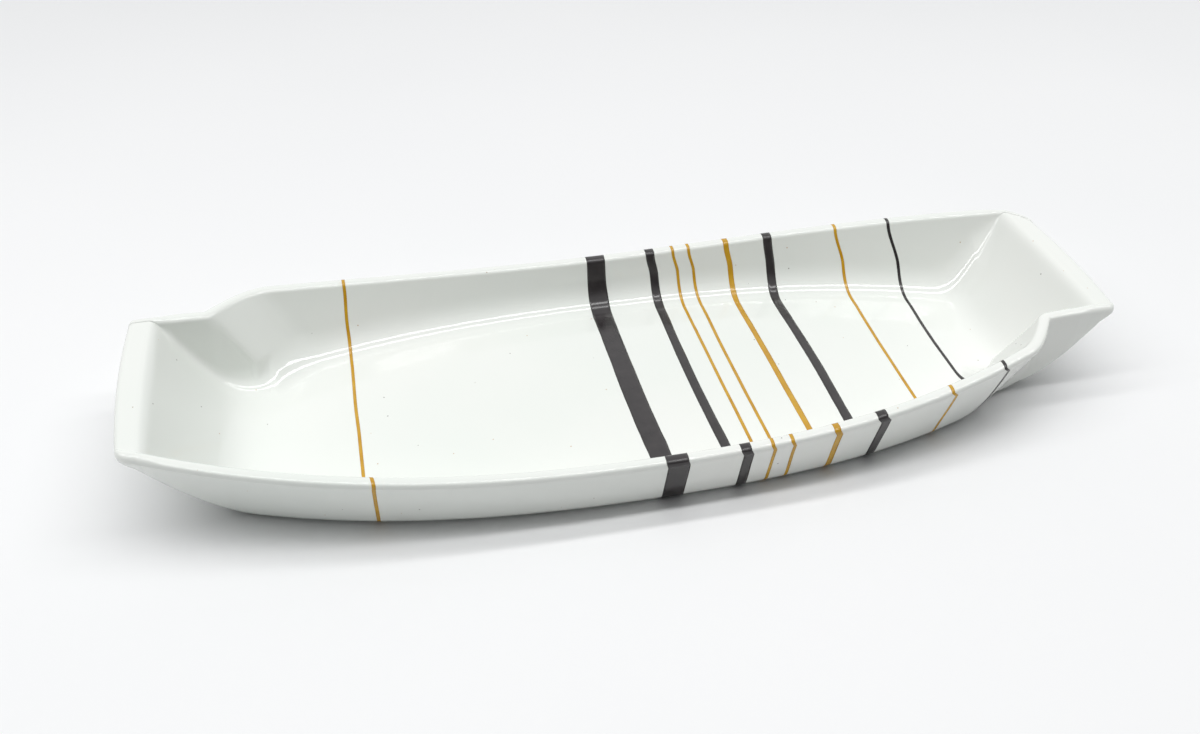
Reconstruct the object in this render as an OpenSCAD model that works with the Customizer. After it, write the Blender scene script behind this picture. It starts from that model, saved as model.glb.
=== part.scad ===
// Long serving platter with a fish-like plan, in glazed ceramic with bands of colour across it.
// X runs along the dish, Y from front to back and Z up. The origin is at the middle of the foot.
// The back edge follows the front edge turned round Z by half a turn, with hand-made differences.
// Each edge has a smooth corner at one end and a corner beyond a pinch at the other.

/* [Dish] */
// Length over the two end lips
dish_length = 408; // [330:2:480]
// Width over the rim at the middle
dish_width = 150; // [130:1:180]
// Height of the rim at the middle of a long side
side_height = 27; // [22:0.5:34]
// Height of the rim at the four corners
end_height = 42; // [38:0.5:56]
// Thickness of the walls and of their rounded rim
wall = 5; // [4:0.25:6.5]
// Thickness of the floor
floor_t = 5.9; // [4:0.1:7]
// Outward lean of the long walls, in degrees from upright
wall_lean = 17.5; // [12:0.5:24]

/* [Front edge] */
// Half width of the rim at the smooth corner, front left
front_smooth = 44.5; // [42:0.5:54]
// Plan radius of the smooth corner
front_corner_r = 4; // [3:0.5:16]
// Half width that the bulge of the edge runs towards, front right
front_bulge = 35; // [32:0.5:50]
// Half width of the rim beyond the pinch, front right
front_pinched = 38.3; // [36:0.1:46]
// Distance from the right end at which the rim starts to pinch in
front_pinch_start = 50; // [44:0.5:62]
// Length over which the rim pinches in
front_pinch_run = 18; // [14:0.5:30]

/* [Back edge] */
// Half width of the rim at the smooth corner, back right
back_smooth = 47; // [42:0.5:54]
// Plan radius of the smooth corner
back_corner_r = 14; // [3:0.5:16]
// Half width that the bulge of the edge runs towards, back left
back_bulge = 48.5; // [32:0.5:50]
// Half width of the rim beyond the pinch, back left
back_pinched = 44.5; // [36:0.1:46]
// Distance from the left end at which the rim starts to pinch in
back_pinch_start = 56.5; // [44:0.5:62]
// Length over which the rim pinches in
back_pinch_run = 27; // [14:0.5:30]

/* [Ends] */
// Outward lean of the short walls beyond the pinches, in degrees from upright
tail_lean = 8; // [3:0.5:14]
// Lean of the walls towards the ends, in degrees from upright
end_lean = 34; // [20:1:38]
// Distance from an end at which its ramp starts
ramp_length = 39.5; // [34:0.5:50]
// Width of the level lip along an end
lip_width = 10.5; // [7:0.5:14]
// Step from the lip up to the crown of the rim at a corner
lip_step = 0.5; // [0.3:0.1:2]
// Distance from an end at which the underside starts to rise
under_length = 43.5; // [38:0.5:56]
// Outward bow of the end edges
end_bow = 2; // [0.5:0.25:5]
// Outward shift of an end's back corner, and inward shift of its front corner
end_splay = 0.9; // [0:0.1:2]
// Plan radius of the corners beyond the pinches
pinched_corner_r = 3.5; // [3:0.5:8]

/* [Blends and foot] */
// Reach of the blend between the floor and the inside of a long wall
inner_blend = 11.5; // [6:0.5:14]
// Reach of that blend at a smooth corner
corner_blend = 16; // [10:0.5:20]
// Reach of that blend beyond a pinch
tail_blend = 5.5; // [4:0.5:10]
// Reach of the blend between the foot and the outside of a wall
outer_blend = 5.5; // [2:0.5:7]
// Width of the flat ring that the dish stands on
foot_ring = 9; // [5:0.5:14]
// Depth of the shallow recess inside the foot ring
foot_recess = 1.2; // [0.4:0.1:2]
// Distance from an end at which the recess stops
recess_end = 76; // [70:1:100]

/* [Colour bands] */
// Width of the broad dark band
broad_band = 9; // [6:0.5:11]
// Width of the two narrower dark bands
dark_band = 4.2; // [2.5:0.1:6]
// Width of the ochre band
ochre_band = 2.6; // [1.8:0.1:4]
// Width of the fine ochre and dark lines
fine_line = 1.4; // [0.8:0.1:2]
// Thickness of the fired-on colour
colour_t = 0.3; // [0.2:0.05:0.5]

/* [Hidden] */

glaze_white = "whitesmoke";
dark_brown = "#3a3638";
ochre = "#c08a1e";

// Middle of each band along the dish, as a share of the half length, from the left
band_place_shares = [-0.5696, 0.0055, 0.1399, 0.1956, 0.2344, 0.325, 0.4194, 0.5787, 0.703];
// Slant of each band, as a share of its distance from the middle of the dish
band_slant_shares = [-0.02, 0.012, 0.004, 0.006, 0.008, 0.012, 0.016, 0.028, 0.036];
band_widths = [
    fine_line, broad_band, dark_band, fine_line, fine_line,
    ochre_band, dark_band, fine_line, fine_line
];

// Bulge and pinch of the long edges, sag and rise of the rim, and sweep of the ramps, as powers of the way
bulge_power = 2.7;
pinch_power = 2.2;
sag_power = 1.9;
rise_power = 2.1;
ramp_power = 1.5;
under_power = 1.85;
// Softening at the end of a pinch, in its fold low on the wall, where the rim levels out, at the lip and
// at the foot of a ramp
pinch_soft = 0.05;
fold_soft = 0.6;
level_soft = 0.25;
lip_soft = 0.12;
foot_soft = 0.3;
// Part of a pinch over which the rim still rises
rise_share = 0.8;
// Part of the edge's draw at a pinch that the softer outside follows
valley_share = 0.5;
// Part of a wall that a blend may take up, and of the lip's thickness left at the end edge
blend_share = 0.75;
edge_share = 0.3;
// Turns at which the inner line of the rim is taken from the edge, in degrees
offset_turn = 80;
offset_step = 20;

// Counts of steps in a half section: blends, walls and the round of the rim
blend_steps = 4;
wall_steps = 4;
rim_steps = 5;
// Counts of sections: body, each end and each rounded end edge
body_steps = 18;
end_steps = 35;
edge_steps = 4;
// Least room between a section and the edge of a band
band_room = 1;

half_length = dish_length / 2 - end_bow - squared(end_splay) / (4 * end_bow);
half_width = dish_width / 2;
ramp_x = half_length - ramp_length;
edge_run = wall / 2;
under_x = half_length - under_length;
lip_x = half_length - lip_width;
lip_height = end_height - lip_step;
// Place where the sections draw closer, ahead of the pinches at the foot of the walls
end_zone = max(ramp_length, front_pinch_start, back_pinch_start) + side_height * tan(end_lean);
close_x = half_length - end_zone;
body_step = 2 * close_x / body_steps;

// Shares, eases and lists

function squared(v) = v * v;
function clipped(t) = max(0, min(1, t));
function ease(t) = squared(clipped(t)) * (3 - 2 * clipped(t));
function blend(a, b, t) = a + (b - a) * t;
function soft_min(a, b, soft) = min(a, b) - squared(max(soft - abs(a - b), 0)) / (4 * soft);
function flat(lists) = [for (l = lists) for (e = l) e];
function sorted(rows) = len(rows) < 2 ? rows : let (
    pivot = rows[floor(len(rows) / 2)][0],
    below = [for (r = rows) if (r[0] < pivot) r],
    level = [for (r = rows) if (r[0] == pivot) r],
    above = [for (r = rows) if (r[0] > pivot) r]
) concat(sorted(below), level, sorted(above));
// Point of a curve that leaves a towards corner c and arrives at b
function curve_point(a, c, b, t) = squared(1 - t) * a + 2 * t * (1 - t) * c + squared(t) * b;

// Edges of the rim. Side is -1 at the front and 1 at the back. Along an edge, x runs from its smooth
// corner to its pinched one

function of_side(side, front, back) = side < 0 ? front : back;
function pinch_x(side) = half_length - of_side(side, front_pinch_start, back_pinch_start);
function pinch_run(side) = of_side(side, front_pinch_run, back_pinch_run);
function pinch_share(x, side, soft = pinch_soft) =
    soft_min(pow(max(x - pinch_x(side), 0) / pinch_run(side), pinch_power), 1, soft);
function bulge_end(x, side) = x < 0
    ? of_side(side, front_smooth, back_smooth)
    : of_side(side, front_bulge, back_bulge);
function body_edge(x, side) =
    half_width - (half_width - bulge_end(x, side)) * pow(abs(x) / half_length, bulge_power);
function straight_edge(x, side, soft = pinch_soft) =
    blend(body_edge(x, side), of_side(side, front_pinched, back_pinched), pinch_share(x, side, soft));
function corner_cut(x, r) =
    r - sqrt(max(squared(r) - squared(max(abs(x) - half_length + r, 0)), 0));
function corner_r(x, side) = x < 0 ? of_side(side, front_corner_r, back_corner_r) : pinched_corner_r;
function edge_y(x, side) = straight_edge(x, side) - corner_cut(x, corner_r(x, side));
// Inner line of the rim, the thickness of the wall inside the edge
function inner_edge(x, side) = min([
    for (turn = [-offset_turn:offset_step:offset_turn])
    straight_edge(x + wall * sin(turn), side) - wall * cos(turn)
]);
function rim_share(x, side) = x < 0
    ? soft_min(pow(-x / lip_x, sag_power), 1, lip_soft)
    : soft_min(pow(x / (pinch_x(side) + rise_share * pinch_run(side)), rise_power), 1, level_soft);

// Floor, ramps and underside, alike at both ends

function end_share(x) = clipped((abs(x) - ramp_x) / ramp_length);
function ramp_way(x) = -soft_min((ramp_x - abs(x)) / (ramp_length - lip_width), 0, foot_soft);
function ramp_top(x) = blend(floor_t, lip_height, soft_min(pow(ramp_way(x), ramp_power), 1, lip_soft));
function ramp_under(x) =
    lip_height * pow(max(min(abs(x), half_length - edge_run) - under_x, 0) / under_length, under_power);
// Share of the full thickness left where the end edge is rounded
function edge_thin(x) = let (way = clipped((abs(x) - half_length + edge_run) / edge_run))
    sqrt(1 - squared(way) * (1 - squared(edge_share)));
function floor_z(x) = blend(ramp_under(x), ramp_top(x), (1 + edge_thin(x)) / 2);
function under_z(x) = blend(ramp_under(x), ramp_top(x), (1 - edge_thin(x)) / 2);
function rim_height(x, side) =
    max(blend(side_height, end_height, rim_share(x, side)), ramp_top(x) + lip_step);
function rim_z(x, side) = floor_z(x) + (rim_height(x, side) - ramp_top(x)) * edge_thin(x);
function recess_at(x) =
    foot_recess * (1 - ease((abs(x) - half_length + recess_end + foot_ring) / foot_ring));
// Distance that a wall draws in over a drop below its rim. Lower down, the wall follows the edge further
// along the dish. Share is the part of the edge's draw to follow
function wall_draw(x, side, drop, share) = let (
    along = min(abs(x) + drop * tan(end_lean), half_length),
    soft = blend(pinch_soft, fold_soft, clipped(drop / side_height)),
    drawn_in = straight_edge(x, side) - straight_edge(x < 0 ? -along : along, side, soft)
) drop * tan(blend(wall_lean, tail_lean, pinch_share(x, side))) + share * max(drawn_in, 0);
function wall_point(x, side, rim, drop, share) = rim - [wall_draw(x, side, drop, share), drop];
function inner_blend_at(x, side) = x < 0
    ? blend(inner_blend, corner_blend, end_share(x))
    : blend(inner_blend, tail_blend, pinch_share(x, side));

// Half of a section at x, from the middle of the underside, round the rim to the middle of the floor,
// as [distance from the middle, height]

function half_section(x, side) = let (
    r = edge_run * edge_thin(x),
    across = (straight_edge(x, side) - inner_edge(x, side)) / 2 * edge_thin(x),
    follow = x < 0 ? 1 : valley_share,
    lean_in = atan(wall_draw(x, side, r, 1) / r),
    lean_out = atan(wall_draw(x, side, r, follow) / r),
    top = floor_z(x),
    under = under_z(x),
    crown = rim_z(x, side),
    rim_mid = [edge_y(x, side) - across, crown - r],
    turn_in = max(lean_in, asin(clipped(((top + crown) / 2 - rim_mid.y) / r))),
    inside = rim_mid + [-across * cos(turn_in), r * sin(turn_in)],
    outside = rim_mid + [across * cos(lean_out), -r * sin(lean_out)],
    deep_in = inside.y - top,
    deep_out = outside.y - under,
    inner_reach = min(inner_blend_at(x, side), blend_share * deep_in),
    outer_reach = min(outer_blend, blend_share * deep_out),
    floor_corner = wall_point(x, side, inside, deep_in, 1),
    foot_corner = wall_point(x, side, outside, deep_out, follow),
    floor_edge = floor_corner.x - inner_reach,
    foot_edge = foot_corner.x - outer_reach,
    wall_floor = wall_point(x, side, inside, deep_in - inner_reach, 1),
    wall_foot = wall_point(x, side, outside, deep_out - outer_reach, follow),
    recess = recess_at(x)
) concat(
    [
        [0, under + recess],
        [foot_edge - foot_ring - foot_recess, under + recess],
        [foot_edge - foot_ring, under]
    ],
    [
        for (i = [0:blend_steps - 1])
        curve_point([foot_edge, under], foot_corner, wall_foot, i / (blend_steps - 1))
    ],
    [
        for (i = [1:wall_steps - 1])
        wall_point(x, side, outside, (deep_out - outer_reach) * (1 - i / wall_steps), follow)
    ],
    [
        for (i = [0:rim_steps])
        let (turn = blend(-lean_out, 180 - turn_in, i / rim_steps))
        rim_mid + [across * cos(turn), r * sin(turn)]
    ],
    [
        for (i = [1:wall_steps - 1])
        wall_point(x, side, inside, (deep_in - inner_reach) * i / wall_steps, 1)
    ],
    [
        for (i = [0:blend_steps])
        curve_point(wall_floor, floor_corner, [floor_edge, top], i / blend_steps)
    ],
    [[floor_edge / 2, top], [0, top]]
);

half_count = len(half_section(0, -1));
ring_count = 2 * half_count - 2;
// First point of a half section that a colour band covers, just above the foot
band_first = 4;

// Whole section as a ring of points in space. A slanted section reads its shape where each point lies,
// between the section at its middle and the one at its edge

function bowed(x, side, y, edge) = let (out = clipped(y / edge))
    x + sign(x) * squared(end_share(x)) * (end_bow * (1 - squared(out)) + end_splay * side * out);
function side_points(station, side) = let (
    edge = edge_y(-side * station[0], side),
    skew = station[1] * side * edge,
    near = half_section(-side * station[0], side),
    far = skew == 0 ? near : half_section(-side * (station[0] + skew), side)
) [
    for (j = [0:half_count - 1])
    let (p = blend(near[j], far[j], near[j].x / edge), x = station[0] + skew * p.x / edge)
    [bowed(x, side, p.x, edge_y(-side * x, side)), side * p.x, p.y]
];
function ring(station) = let (front = side_points(station, -1), back = side_points(station, 1))
    concat(front, [for (j = [half_count - 2:-1:1]) back[j]]);

// Stations along the dish, each as [place, slant]

band_count = len(band_widths);
band_places = [for (s = band_place_shares) s * half_length];
band_stations = [
    for (i = [0:band_count - 1])
    for (side = [-1, 1])
    [band_places[i] + side * band_widths[i] / 2, band_slant_shares[i]]
];
function band_reach(i) = band_widths[i] / 2 + half_width * abs(band_slant_shares[i]) + band_room;
function clear_of_bands(x) =
    min([for (i = [0:band_count - 1]) abs(x - band_places[i]) - band_reach(i)]) > 0;
plain_places = concat(
    [for (i = [1:body_steps - 1]) -close_x + i * body_step],
    [
        for (side = [-1, 1])
        for (i = [0:end_steps])
        side * blend(close_x, half_length - edge_run, i / end_steps)
    ],
    [
        for (side = [-1, 1])
        for (i = [1:edge_steps])
        side * (half_length - edge_run * (1 - sin(90 * i / edge_steps)))
    ]
);
stations = sorted(concat(band_stations, [for (x = plain_places) if (clear_of_bands(x)) [x, 0]]));

// Two triangles of a four-sided face
function quad(a, b, c, d) = [[a, b, c], [a, c, d]];

// Cast shell: the sections lofted from end to end, with a narrow flat at each end edge
module dish_body() {
    rings = [for (s = stations) ring(s)];
    last = len(stations) - 1;
    sides = [
        for (i = [0:last - 1])
        for (j = [0:ring_count - 1])
        let (a = i * ring_count, b = a + ring_count, k = (j + 1) % ring_count)
        each quad(a + j, a + k, b + k, b + j)
    ];
    caps = [
        for (j = [0:half_count / 2 - 2])
        let (
            front = [j, j + 1, half_count - 2 - j, half_count - 1 - j],
            back = [
                half_count - 1 + j, half_count + j,
                ring_count - 1 - j, (ring_count - j) % ring_count
            ]
        )
        for (f = [front, back])
        let (g = [for (v = f) v + last * ring_count])
        each concat(quad(f[3], f[2], f[1], f[0]), quad(g[0], g[1], g[2], g[3]))
    ];
    color(glaze_white)
    polyhedron(points = flat(rings), faces = concat(sides, caps), convexity = 8);
}

// Colour fired on to the shell: a thin strip from the front foot, over both rims, to the back foot
module colour_band(i) {
    count = ring_count - 2 * band_first + 1;
    lower = [for (side = [0, 1]) ring(band_stations[2 * i + side])];
    upper = [
        for (r = lower)
        [
            for (j = [0:ring_count - 1])
            let (
                along = r[(j + 1) % ring_count] - r[(j + ring_count - 1) % ring_count],
                out = [0, -along.z, along.y]
            )
            r[j] + colour_t * out / norm(out)
        ]
    ];
    points = [
        for (n = [0:count - 1])
        let (j = n + band_first)
        each [lower[0][j], lower[1][j], upper[1][j], upper[0][j]]
    ];
    sides = [
        for (n = [0:count - 2])
        let (a = 4 * n, b = a + 4)
        each concat(
            [[a, b + 1, b], [a, a + 1, b + 1]],
            quad(a + 1, a + 2, b + 2, b + 1),
            quad(a + 2, a + 3, b + 3, b + 2),
            quad(a + 3, a, b, b + 3)
        )
    ];
    end = 4 * (count - 1);
    polyhedron(
        points = points,
        faces = concat(sides, quad(3, 2, 1, 0), quad(end, end + 1, end + 2, end + 3)),
        convexity = 8
    );
}

module line_ochre_a() { color(ochre) colour_band(0); }
module band_dark_broad() { color(dark_brown) colour_band(1); }
module band_dark_a() { color(dark_brown) colour_band(2); }
module line_ochre_b() { color(ochre) colour_band(3); }
module line_ochre_c() { color(ochre) colour_band(4); }
module band_ochre() { color(ochre) colour_band(5); }
module band_dark_b() { color(dark_brown) colour_band(6); }
module line_ochre_d() { color(ochre) colour_band(7); }
module line_dark() { color(dark_brown) colour_band(8); }

dish_body();
line_ochre_a();
band_dark_broad();
band_dark_a();
line_ochre_b();
line_ochre_c();
band_ochre();
band_dark_b();
line_ochre_d();
line_dark();
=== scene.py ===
import math

import bpy
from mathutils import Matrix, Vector, noise


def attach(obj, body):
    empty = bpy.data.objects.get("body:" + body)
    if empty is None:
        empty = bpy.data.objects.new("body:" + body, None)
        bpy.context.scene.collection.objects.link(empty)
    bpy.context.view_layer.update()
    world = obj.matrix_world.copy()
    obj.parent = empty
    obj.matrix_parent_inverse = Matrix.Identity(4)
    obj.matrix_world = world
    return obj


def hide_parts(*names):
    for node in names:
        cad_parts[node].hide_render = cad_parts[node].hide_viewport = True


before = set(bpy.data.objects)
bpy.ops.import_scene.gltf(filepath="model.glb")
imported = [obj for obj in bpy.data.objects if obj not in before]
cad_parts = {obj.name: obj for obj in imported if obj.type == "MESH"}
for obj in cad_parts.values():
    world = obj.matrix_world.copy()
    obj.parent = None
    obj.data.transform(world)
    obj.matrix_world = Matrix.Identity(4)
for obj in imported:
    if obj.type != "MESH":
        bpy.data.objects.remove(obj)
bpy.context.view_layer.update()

# Sizes of the dish, in millimetres, as in the part's source
MM = 0.001
HALF_WIDTH = 75.0
SIDE_HEIGHT = 27.0
END_HEIGHT = 42.0
RIM_RADIUS = 2.5
FLOOR_T = 5.9
WALL_LEAN = 17.5
TAIL_LEAN = 8.0
END_LEAN = 34.0
RAMP_START, RAMP_RUN, LIP_STEP = 39.5, 29.0, 0.5
UNDER_START = 43.5
END_BOW = 2.0
END_SPLAY = 0.9
HALF_LENGTH = 204.0 - END_BOW - END_SPLAY ** 2 / (4 * END_BOW)
PINCHED_CORNER_R = 3.5
INNER_BLEND = 11.5
TAIL_BLEND = 5.5
CORNER_BLEND = 16.0
OUTER_BLEND = 5.5
FOOT_RING = 9.0
FOOT_RECESS = 1.2
RECESS_SIDE = 2.4
RECESS_END = 76.0
# Rim: flatter towards a tight outer edge, where the wall stands high enough over the floor
RIM_SPREAD, RIM_CROWN, RIM_SQUARE = 0.4, 2.1, 0.62
FLAT_FROM, FLAT_RUN = 4.0, 8.0
# Each edge: half width and radius at the smooth corner, half widths that the bulge heads for and
# beyond the pinch, and where the pinch starts and how far it runs
EDGES = {
    -1: {"smooth": 44.5, "corner": 4.0, "bulge": 35.0, "pinched": 38.3, "start": 50.0, "run": 18.0},
    1: {"smooth": 47.0, "corner": 14.0, "bulge": 48.5, "pinched": 44.5, "start": 56.5, "run": 27.0},
}
LIP_HEIGHT = END_HEIGHT - LIP_STEP
BULGE_POWER, SAG_POWER, RISE_POWER, RAMP_POWER, UNDER_POWER = 2.7, 1.9, 2.1, 1.5, 1.85
PINCH_POWER, PINCH_SOFT, FOLD_SOFT, LIP_SOFT, FOOT_SOFT = 2.2, 0.05, 0.15, 0.12, 0.3
RISE_SHARE, LEVEL_SHARE, VALLEY_SHARE, BLEND_SHARE, EDGE_SHARE = 0.8, 0.25, 0.5, 0.75, 0.06

# Colour bands from the left: node, place and slant as shares, width in millimetres, material slot
BANDS = [
    ("line_ochre_a", -0.5696, -0.02, 1.4, "colour_ochre"),
    ("band_dark_broad", 0.0055, 0.012, 9.0, "colour_dark"),
    ("band_dark_a", 0.1399, 0.004, 4.2, "colour_dark"),
    ("line_ochre_b", 0.1956, 0.006, 1.4, "colour_ochre"),
    ("line_ochre_c", 0.2344, 0.008, 1.4, "colour_ochre"),
    ("band_ochre", 0.325, 0.012, 2.6, "colour_ochre"),
    ("band_dark_b", 0.4194, 0.016, 4.2, "colour_dark"),
    ("line_ochre_d", 0.5787, 0.028, 1.4, "colour_ochre"),
    ("line_dark", 0.703, 0.036, 1.4, "colour_dark"),
]
# Drift of each hand-drawn stroke in millimetres: outside of the front wall low and high, front rim,
# floor at the front, middle and back, inside of the back wall half-way, and back rim
DRIFTS = {
    "line_ochre_a": (1.8, 1.6, 1.8, -1.8, -1.1, -0.1, 0.3, 1.4),
    "band_dark_broad": (-0.1, 0.1, -0.5, 0.5, -0.8, -1.1, -1.1, -0.9),
    "band_dark_a": (0.1, -0.2, -1.2, 0.2, -0.6, 0.0, 0.1, -1.3),
    "line_ochre_b": (-0.5, -0.7, -1.7, 0.1, 0.0, 0.1, 0.2, -1.7),
    "line_ochre_c": (0.2, -0.4, -1.4, 0.4, 0.1, 0.5, 0.0, -2.0),
    "band_ochre": (0.6, 0.1, -1.0, 0.1, -0.1, -0.8, -0.6, -2.3),
    "band_dark_b": (0.9, 1.1, -0.6, -0.8, -0.2, -1.2, -0.5, -1.5),
    "line_ochre_d": (0.4, 1.1, -1.0, 0.7, 0.8, 1.6, 1.6, -1.7),
    "line_dark": (0.2, 1.3, -0.8, 0.6, 0.4, 1.5, 1.8, -2.4),
}


def clipped(t):
    return max(0.0, min(1.0, t))


def ease(t):
    t = clipped(t)
    return t * t * (3 - 2 * t)


def mix(a, b, t):
    return a + (b - a) * t


def soft_min(a, b, soft):
    return min(a, b) - max(soft - abs(a - b), 0) ** 2 / (4 * soft)


# Edges of the rim. Side is -1 at the front and 1 at the back, and x runs from the smooth corner
# to the pinch


def pinch_share(x, side, soft=PINCH_SOFT):
    e = EDGES[side]
    t = max((x - HALF_LENGTH + e["start"]) / e["run"], 0)
    return soft_min(t ** PINCH_POWER, 1, soft)


def straight_edge(x, side, soft=PINCH_SOFT):
    e = EDGES[side]
    end = e["smooth"] if x < 0 else e["bulge"]
    body = HALF_WIDTH - (HALF_WIDTH - end) * (abs(x) / HALF_LENGTH) ** BULGE_POWER
    return mix(body, e["pinched"], pinch_share(x, side, soft))


def edge_y(x, side):
    r = EDGES[side]["corner"] if x < 0 else PINCHED_CORNER_R
    over = max(abs(x) - HALF_LENGTH + r, 0)
    return straight_edge(x, side) - r + math.sqrt(max(r * r - over * over, 0))


def rim_width(x, side):
    """Width of the rim across the dish, for a wall of even thickness."""
    wall = 2 * RIM_RADIUS
    inner = min(
        straight_edge(x + wall * math.sin(turn), side) - wall * math.cos(turn)
        for turn in (math.radians(10 * i) for i in range(-8, 9))
    )
    return straight_edge(x, side) - inner


def rim_share(x, side):
    if x < 0:
        return soft_min((-x / (HALF_LENGTH - RAMP_START + RAMP_RUN)) ** SAG_POWER, 1, LIP_SOFT)
    e = EDGES[side]
    level = HALF_LENGTH - e["start"] + RISE_SHARE * e["run"]
    return soft_min((x / level) ** RISE_POWER, 1, LEVEL_SHARE)


# Floor, ramps and underside


def end_share(x):
    return clipped((abs(x) - HALF_LENGTH + RAMP_START) / RAMP_START)


def ramp_top(x):
    t = -soft_min((HALF_LENGTH - RAMP_START - abs(x)) / RAMP_RUN, 0, FOOT_SOFT)
    return mix(FLOOR_T, LIP_HEIGHT, soft_min(t ** RAMP_POWER, 1, LIP_SOFT))


def ramp_under(x):
    t = max((min(abs(x), HALF_LENGTH - RIM_RADIUS) - HALF_LENGTH + UNDER_START) / UNDER_START, 0)
    return LIP_HEIGHT * t ** UNDER_POWER


def edge_thin(x):
    way = clipped((abs(x) - HALF_LENGTH + RIM_RADIUS) / RIM_RADIUS)
    return math.sqrt(1 - way * way * (1 - EDGE_SHARE * EDGE_SHARE))


def floor_z(x):
    return mix(ramp_under(x), ramp_top(x), (1 + edge_thin(x)) / 2)


def under_z(x):
    return mix(ramp_under(x), ramp_top(x), (1 - edge_thin(x)) / 2)


def rim_z(x, side):
    rim = max(mix(SIDE_HEIGHT, END_HEIGHT, rim_share(x, side)), ramp_top(x) + LIP_STEP)
    return floor_z(x) + (rim - ramp_top(x)) * edge_thin(x)


def wall_draw(x, side, drop, share):
    """Distance that a wall draws in over a drop below its rim.

    Share is the part of the edge's own draw to follow. A wall that follows it all folds with it.
    """
    along = math.copysign(min(abs(x) + drop * math.tan(math.radians(END_LEAN)), HALF_LENGTH), x)
    soft = mix(PINCH_SOFT, FOLD_SOFT, clipped(drop / SIDE_HEIGHT))
    drawn_in = share * max(straight_edge(x, side) - straight_edge(along, side, soft), 0)
    fold = pinch_share(x, side)
    if share == 1 and x > 0:
        fold = pinch_share(along, side)
        drawn_in += rim_width(along, side) - rim_width(x, side)
    return drop * math.tan(math.radians(mix(WALL_LEAN, TAIL_LEAN, fold))) + drawn_in


# Half of a section, from the middle of the underside, round the rim to the middle of the floor

UNDER_SHARES = (0.0, 0.35, 0.7)
FLOOR_SHARES = (0.94, 0.86, 0.76, 0.64, 0.5, 0.34, 0.17, 0.0)
RECESS_STEPS, FOOT_STEPS, WALL_STEPS, RIM_STEPS, INNER_STEPS, BLEND_STEPS = 5, 8, 7, 26, 25, 22


def curve(a, c, b, t):
    return tuple((1 - t) ** 2 * p + 2 * t * (1 - t) * q + t * t * s for p, q, s in zip(a, c, b))


def half_section(x, side):
    top, under = floor_z(x), under_z(x)
    flat = clipped((rim_z(x, side) - top - FLAT_FROM) / FLAT_RUN)
    r = RIM_RADIUS * edge_thin(x)
    across = rim_width(x, side) / 2 * edge_thin(x)
    outer, crown, square = across + RIM_SPREAD * flat, mix(r, RIM_CROWN, flat), mix(1, RIM_SQUARE, flat)
    follow = 1 if x < 0 else VALLEY_SHARE
    lean_in = math.atan(wall_draw(x, side, r, 1) / r)
    lean_out = math.atan(wall_draw(x, side, r, follow) / r)
    mid_y, mid_z = edge_y(x, side) - across, rim_z(x, side) - r
    lip = (rim_z(x, side) - top) / 2
    turn_in = max(lean_in, math.asin(clipped((top + lip - mid_z) / r)) if lip < r else 0)
    inside = (mid_y - across * math.cos(turn_in), mid_z + crown * math.sin(turn_in))
    outside = (mid_y + outer * math.cos(lean_out), mid_z - r * math.sin(lean_out))
    deep_in, deep_out = inside[1] - top, outside[1] - under
    if x < 0:
        blend = mix(INNER_BLEND, CORNER_BLEND, end_share(x))
    else:
        blend = mix(INNER_BLEND, TAIL_BLEND, pinch_share(x, side))
    inner_reach = min(blend, BLEND_SHARE * deep_in)
    outer_reach = min(OUTER_BLEND, BLEND_SHARE * deep_out)

    def wall_in(drop):
        return inside[0] - wall_draw(x, side, drop, 1), inside[1] - drop

    def wall_out(drop):
        return outside[0] - wall_draw(x, side, drop, follow), outside[1] - drop

    floor_corner, foot_corner = wall_in(deep_in), wall_out(deep_out)
    floor_edge = (floor_corner[0] - inner_reach, top)
    foot_edge = (foot_corner[0] - outer_reach, under)
    wall_floor, wall_foot = wall_in(deep_in - inner_reach), wall_out(deep_out - outer_reach)
    recess = FOOT_RECESS * (1 - ease((abs(x) - HALF_LENGTH + RECESS_END + FOOT_RING) / FOOT_RING))
    recess_y = foot_edge[0] - FOOT_RING - RECESS_SIDE
    points = [(recess_y * t, under + recess) for t in UNDER_SHARES]
    for i in range(RECESS_STEPS + 1):
        t = i / RECESS_STEPS
        points.append((recess_y + RECESS_SIDE * t, under + recess * (1 - ease(t))))
    for i in range(FOOT_STEPS + 1):
        points.append(curve(foot_edge, foot_corner, wall_foot, i / FOOT_STEPS))
    for i in range(1, WALL_STEPS):
        points.append(wall_out((deep_out - outer_reach) * (1 - i / WALL_STEPS)))
    for i in range(RIM_STEPS + 1):
        turn = mix(-lean_out, math.pi - turn_in, i / RIM_STEPS)
        out, up = math.cos(turn), math.sin(turn)
        if turn < 0:
            points.append((mid_y + outer * out, mid_z + r * up))
        elif out > 0:
            points.append((mid_y + outer * out ** square, mid_z + crown * up ** square))
        else:
            points.append((mid_y + across * out, mid_z + crown * up))
    for i in range(1, INNER_STEPS):
        points.append(wall_in((deep_in - inner_reach) * i / INNER_STEPS))
    for i in range(BLEND_STEPS + 1):
        points.append(curve(wall_floor, floor_corner, floor_edge, i / BLEND_STEPS))
    points += [(floor_edge[0] * t, top) for t in FLOOR_SHARES]
    return points


def bowed(x, side, y):
    out = clipped(y / edge_y(-side * x, side))
    return x + math.copysign(end_share(x) ** 2, x) * (END_BOW * (1 - out * out) + END_SPLAY * side * out)


def surface_point(x, side, j):
    """Point j of the section at x, in metres."""
    y, z = half_section(-side * x, side)[j]
    return Vector((bowed(x, side, y), side * y, z)) * MM


def section(x, side):
    return [Vector((bowed(x, side, y), side * y, z)) * MM for y, z in half_section(-side * x, side)]


HALF_COUNT = len(half_section(0, -1))


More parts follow.
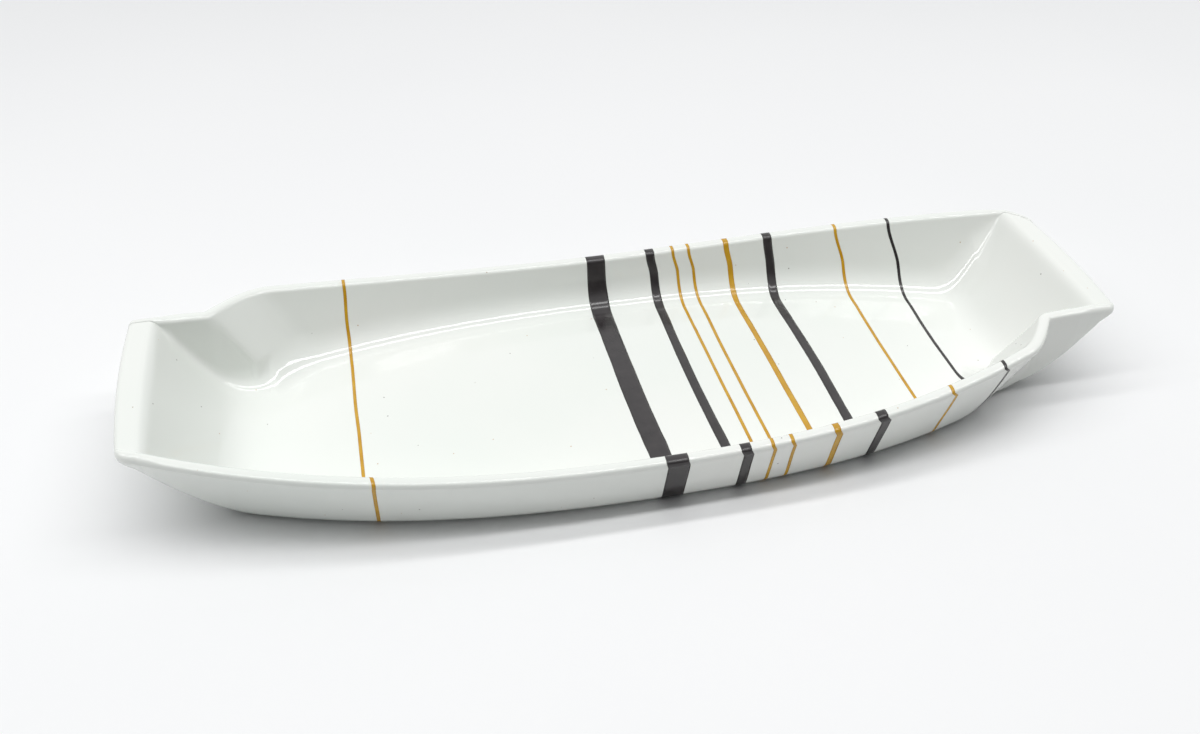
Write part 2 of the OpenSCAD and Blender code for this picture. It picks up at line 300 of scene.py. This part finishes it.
def mesh_object(name, points, faces, material):
    data = bpy.data.meshes.new(name)
    data.from_pydata(points, [], faces)
    data.validate()
    data.shade_smooth()
    data.materials.append(material)
    made = bpy.data.objects.new(name, data)
    bpy.context.scene.collection.objects.link(made)
    return made


# Materials


def node(tree, kind, **inputs):
    made = tree.nodes.new(kind)
    for key, value in inputs.items():
        made.inputs[key.replace("_", " ")].default_value = value
    return made


def new_material(name):
    material = bpy.data.materials.new(name)
    material.use_nodes = True
    tree = material.node_tree
    return material, tree, tree.nodes["Principled BSDF"]


def ramp(tree, source, stops):
    made = tree.nodes.new("ShaderNodeValToRGB")
    elements = made.color_ramp.elements
    for i, (place, colour) in enumerate(stops):
        element = elements[i] if i < 2 else elements.new(place)
        element.position = place
        element.color = (*colour, 1)
    tree.links.new(source, made.inputs["Fac"])
    return made.outputs["Color"]


def blended(tree, factor, a, b):
    """Colour between a and b, each a colour or a socket."""
    made = tree.nodes.new("ShaderNodeMix")
    made.data_type = "RGBA"
    tree.links.new(factor, made.inputs["Factor"])
    for value, socket in ((a, made.inputs[6]), (b, made.inputs[7])):
        if isinstance(value, tuple):
            socket.default_value = (*value, 1)
        else:
            tree.links.new(value, socket)
    return made.outputs[2]


def maths(tree, operation, a, b):
    made = tree.nodes.new("ShaderNodeMath")
    made.operation = operation
    for value, socket in ((a, made.inputs[0]), (b, made.inputs[1])):
        if isinstance(value, (int, float)):
            socket.default_value = value
        else:
            tree.links.new(value, socket)
    return made.outputs[0]


def noise_texture(tree, where, scale, detail=2.0):
    made = node(tree, "ShaderNodeTexNoise", Scale=scale, Detail=detail)
    tree.links.new(where, made.inputs["Vector"])
    return made.outputs["Fac"]


def gloss(tree, shader, where, low, high, wave):
    """Roughness that varies a little, and the faint waves of a fired glaze."""
    patches = noise_texture(tree, where, 30, 3)
    made = node(tree, "ShaderNodeMapRange", To_Min=low, To_Max=high)
    tree.links.new(patches, made.inputs["Value"])
    tree.links.new(made.outputs["Result"], shader.inputs["Roughness"])
    waves = noise_texture(tree, where, 70, 1)
    bump = node(tree, "ShaderNodeBump", Strength=1.0, Distance=wave)
    tree.links.new(waves, bump.inputs["Height"])
    tree.links.new(bump.outputs["Normal"], shader.inputs["Normal"])


def specks(tree, where, scale, size, kept):
    """1 on fine specks, of which about the share kept is left."""
    cells = node(tree, "ShaderNodeTexVoronoi", Scale=scale)
    tree.links.new(where, cells.inputs["Vector"])
    near = maths(tree, "LESS_THAN", cells.outputs["Distance"], size * scale)
    parts = tree.nodes.new("ShaderNodeSeparateColor")
    tree.links.new(cells.outputs["Color"], parts.inputs["Color"])
    chosen = maths(tree, "LESS_THAN", parts.outputs["Red"], kept)
    return maths(tree, "MULTIPLY", near, chosen), parts.outputs["Green"]


def glaze_material():
    material, tree, shader = new_material("glaze_white")
    where = tree.nodes.new("ShaderNodeTexCoord").outputs["Object"]
    tint = ramp(
        tree,
        noise_texture(tree, where, 9, 3),
        [(0.3, (0.80, 0.835, 0.795)), (0.7, (0.845, 0.86, 0.825))],
    )
    mask, pick = specks(tree, where, 150, 0.00032, 0.6)
    speck = ramp(tree, pick, [(0.45, (0.16, 0.14, 0.12)), (0.55, (0.52, 0.33, 0.15))])
    faint = maths(tree, "MULTIPLY", mask, 0.75)
    body = blended(tree, faint, tint, speck)
    parts = tree.nodes.new("ShaderNodeSeparateXYZ")
    tree.links.new(where, parts.inputs["Vector"])
    bare = maths(tree, "LESS_THAN", parts.outputs["Z"], 0.00012)
    grain = ramp(
        tree,
        noise_texture(tree, where, 900, 4),
        [(0.35, (0.60, 0.55, 0.47)), (0.65, (0.72, 0.67, 0.59))],
    )
    tree.links.new(blended(tree, bare, body, grain), shader.inputs["Base Color"])
    gloss(tree, shader, where, 0.02, 0.045, 0.00003)
    smooth = shader.inputs["Roughness"].links[0].from_socket
    rough = maths(tree, "ADD", smooth, maths(tree, "MULTIPLY", bare, 0.6))
    tree.links.new(rough, shader.inputs["Roughness"])
    shader.inputs["IOR"].default_value = 1.5
    return material


def colour_material(name, thin, full):
    """Brushed and fired colour: thinner in places, and pitted by the glaze over it."""
    material, tree, shader = new_material(name)
    where = tree.nodes.new("ShaderNodeTexCoord").outputs["Object"]
    strokes = noise_texture(tree, where, 160, 4)
    body = ramp(tree, strokes, [(0.3, full), (0.72, thin)])
    mask, pick = specks(tree, where, 420, 0.00016, 0.5)
    pale = tuple(min(1.0, 1.6 * c + 0.03) for c in thin)
    pits = maths(tree, "MULTIPLY", mask, 0.5)
    tree.links.new(blended(tree, pits, body, pale), shader.inputs["Base Color"])
    gloss(tree, shader, where, 0.12, 0.2, 0.00003)
    shader.inputs["IOR"].default_value = 1.5
    return material


GLAZE = glaze_material()
COLOURS = {
    "colour_dark": colour_material("colour_dark_fired", (0.036, 0.031, 0.032), (0.022, 0.019, 0.020)),
    "colour_ochre": colour_material("colour_ochre_fired", (0.60, 0.345, 0.02), (0.50, 0.255, 0.008)),
}


# Cast shell, with closer sections towards its ends

BODY_HALF, BODY_STEPS, END_STEPS, EDGE_STEPS = 110.0, 56, 160, 10


def stations():
    close = HALF_LENGTH - RIM_RADIUS
    places = [BODY_HALF * (2 * i / BODY_STEPS - 1) for i in range(BODY_STEPS + 1)]
    for i in range(1, END_STEPS + 1):
        x = mix(BODY_HALF, close, i / END_STEPS)
        places += [x, -x]
    for i in range(1, EDGE_STEPS + 1):
        x = HALF_LENGTH - RIM_RADIUS * (1 - math.sin(math.pi / 2 * i / EDGE_STEPS))
        places += [x, -x]
    return sorted(places)


def dish_mesh():
    n = HALF_COUNT
    count = 2 * n - 2
    points, faces = [], []
    places = stations()
    for x in places:
        front, back = section(x, -1), section(x, 1)
        points += front + back[-2:0:-1]
    last = len(places) - 1
    for i in range(last):
        a, b = i * count, (i + 1) * count
        for j in range(count):
            k = (j + 1) % count
            faces.append((a + j, a + k, b + k, b + j))
    for j in range(n // 2 - 1):
        front = (j, j + 1, n - 2 - j, n - 1 - j)
        back = (n - 1 + j, n + j, count - 1 - j, (count - j) % count)
        for f in (front, back):
            faces.append(f[::-1])
            faces.append(tuple(v + last * count for v in f))
    return points, faces


dish = mesh_object("dish_shell", *dish_mesh(), GLAZE)
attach(dish, "root")
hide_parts("dish_body")


# Colour bands: thin closed strips that lie in the shell's surface, with slightly uneven edges

BAND_FIRST = len(UNDER_SHARES) + RECESS_STEPS + 3
RAISED = 0.00006
SUNK = 0.0004
WANDER, WANDER_START, WANDER_RATE = 0.12, 80, 0.07
SWELL, SWELL_RATE = 0.07, 2.3
SEED_STEP = 7.7


def drift_places():
    """Places along a band's path for the drifts of its stroke."""
    wall = BAND_FIRST + FOOT_STEPS - 2
    rim = wall + WALL_STEPS - 1
    inner = rim + RIM_STEPS
    floor = HALF_COUNT - len(FLOOR_SHARES)
    front = [wall, rim, rim + RIM_STEPS // 3, floor, HALF_COUNT - 1]
    back = [floor, inner + INNER_STEPS + BLEND_STEPS // 4, inner]
    return [j - BAND_FIRST for j in front] + [2 * (HALF_COUNT - 1) - j - BAND_FIRST for j in back]


def drift(shifts, at):
    """Drift at a place along the path, smooth between the stroke's given places."""
    places = drift_places()
    for a, b, here, there in zip(places, places[1:], shifts, shifts[1:]):
        if at <= b:
            return mix(here, there, ease((at - a) / (b - a)))
    return shifts[-1]


def band_points(name, place, slant, width, seed):
    """Rows of points across the band, from the front foot to the back foot."""
    columns = max(4, round(width))
    path = [(-1, j) for j in range(BAND_FIRST, HALF_COUNT)]
    path += [(1, j) for j in range(HALF_COUNT - 2, BAND_FIRST - 1, -1)]
    rows = []
    for at, (side, j) in enumerate(path):
        middle = place * HALF_LENGTH
        y = half_section(-side * middle, side)[j][0]
        along = (side * y + WANDER_START) * WANDER_RATE
        wander = WANDER * noise.noise((along, seed, 0.3))
        swell = 1 + SWELL * noise.noise((along * SWELL_RATE, seed, 4.1))
        centre = middle + slant * side * y + drift(DRIFTS[name], at) + wander
        rows.append([
            surface_point(centre + width * swell * (i / columns - 0.5), side, j)
            for i in range(columns + 1)
        ])
    return rows


def band_mesh(rows):
    m, n = len(rows), len(rows[0])
    raised, sunk = [], []
    for i, row in enumerate(rows):
        for k, p in enumerate(row):
            along = rows[min(i + 1, m - 1)][k] - rows[max(i - 1, 0)][k]
            across = row[min(k + 1, n - 1)] - row[max(k - 1, 0)]
            out = across.cross(along).normalized()
            raised.append(p + out * RAISED)
            sunk.append(p - out * SUNK)
    under = len(raised)
    faces = []
    for i in range(m - 1):
        for k in range(n - 1):
            a, b = i * n + k, (i + 1) * n + k
            faces.append((a, a + 1, b + 1, b))
            faces.append((under + a, under + b, under + b + 1, under + a + 1))
    rim = [i * n for i in range(m)] + [(m - 1) * n + k for k in range(1, n)]
    rim += [i * n + n - 1 for i in range(m - 2, -1, -1)] + [k for k in range(n - 2, 0, -1)]
    for a, b in zip(rim, rim[1:] + rim[:1]):
        faces.append((a, b, under + b, under + a))
    return raised + sunk, faces


for seed, (name, place, slant, width, slot) in enumerate(BANDS):
    rows = band_points(name, place, slant, width, seed * SEED_STEP)
    strip = mesh_object(name + "_fired", *band_mesh(rows), COLOURS[slot])
    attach(strip, "root")
    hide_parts(name)


# Floor, light and camera


def floor_material():
    material, tree, shader = new_material("table_white")
    where = tree.nodes.new("ShaderNodeTexCoord").outputs["Object"]
    tone = ramp(
        tree,
        noise_texture(tree, where, 3, 2),
        [(0.3, (0.86, 0.865, 0.872)), (0.7, (0.88, 0.883, 0.888))],
    )
    tree.links.new(tone, shader.inputs["Base Color"])
    shader.inputs["Roughness"].default_value = 0.7
    shader.inputs["Specular IOR Level"].default_value = 0.2
    return material


SPAN = 4.0
floor = mesh_object(
    "table",
    [(-SPAN, -SPAN, 0), (SPAN, -SPAN, 0), (SPAN, SPAN, 0), (-SPAN, SPAN, 0)],
    [(0, 1, 2, 3)],
    floor_material(),
)


def soft_light(name, place, aim, size, power):
    data = bpy.data.lights.new(name, "AREA")
    data.shape = "RECTANGLE"
    data.size, data.size_y = size
    data.energy = power
    made = bpy.data.objects.new(name, data)
    made.location = place
    made.rotation_euler = (Vector(aim) - Vector(place)).to_track_quat("-Z", "Y").to_euler()
    bpy.context.scene.collection.objects.link(made)


STRIP_X, STRIP_OUT, STRIP_HEIGHT = -0.3, 0.24, 1.5
STRIP_SIZE = (3.6, 0.14)
for name, side, power in (("strip_front", -1, 16), ("strip_back", 1, 12)):
    place = (STRIP_X, side * STRIP_OUT, STRIP_HEIGHT)
    soft_light(name, place, (STRIP_X, 0, 0), STRIP_SIZE, power)


def level(tree, value, given, wanted):
    """Value, eased from one range to another."""
    made = node(
        tree,
        "ShaderNodeMapRange",
        From_Min=given[0],
        From_Max=given[1],
        To_Min=wanted[0],
        To_Max=wanted[1],
    )
    made.interpolation_type = "SMOOTHSTEP"
    tree.links.new(value, made.inputs["Value"])
    return made.outputs["Result"]


def studio_world():
    """Soft light from above and behind, a dim room in front, and a white backdrop for the gloss."""
    world = bpy.data.worlds.new("studio")
    world.use_nodes = True
    tree = world.node_tree
    sky = tree.nodes["Background"]
    parts = tree.nodes.new("ShaderNodeSeparateXYZ")
    tree.links.new(tree.nodes.new("ShaderNodeTexCoord").outputs["Generated"], parts.inputs["Vector"])
    height = maths(tree, "ADD", parts.outputs["Z"], maths(tree, "MULTIPLY", parts.outputs["Y"], 0.6))
    rays = tree.nodes.new("ShaderNodeLightPath").outputs
    seen = maths(tree, "MAXIMUM", rays["Is Camera Ray"], rays["Is Glossy Ray"])
    seen = maths(tree, "MAXIMUM", seen, rays["Is Transmission Ray"])
    light = level(tree, height, (0.2, 1.1), (0.12, 0.6))
    backdrop = level(tree, height, (-0.2, 0.6), (0.15, 1.0))
    shown = node(tree, "ShaderNodeMix")
    for source, key in ((seen, 0), (light, 2), (backdrop, 3)):
        tree.links.new(source, shown.inputs[key])
    tree.links.new(shown.outputs[0], sky.inputs["Strength"])
    sky.inputs["Color"].default_value = (0.985, 0.995, 1, 1)
    return world


bpy.context.scene.world = studio_world()

camera_data = bpy.data.cameras.new("camera")
camera_data.lens = 36.0
camera_data.sensor_width = 36.0
camera = bpy.data.objects.new("camera", camera_data)
camera.location = (-0.1037, -0.3978, 0.3220)
camera.rotation_euler = (math.radians(53.29), 0, math.radians(-12.84))
bpy.context.scene.collection.objects.link(camera)
bpy.context.scene.camera = camera
bpy.context.scene.view_settings.view_transform = "Standard"
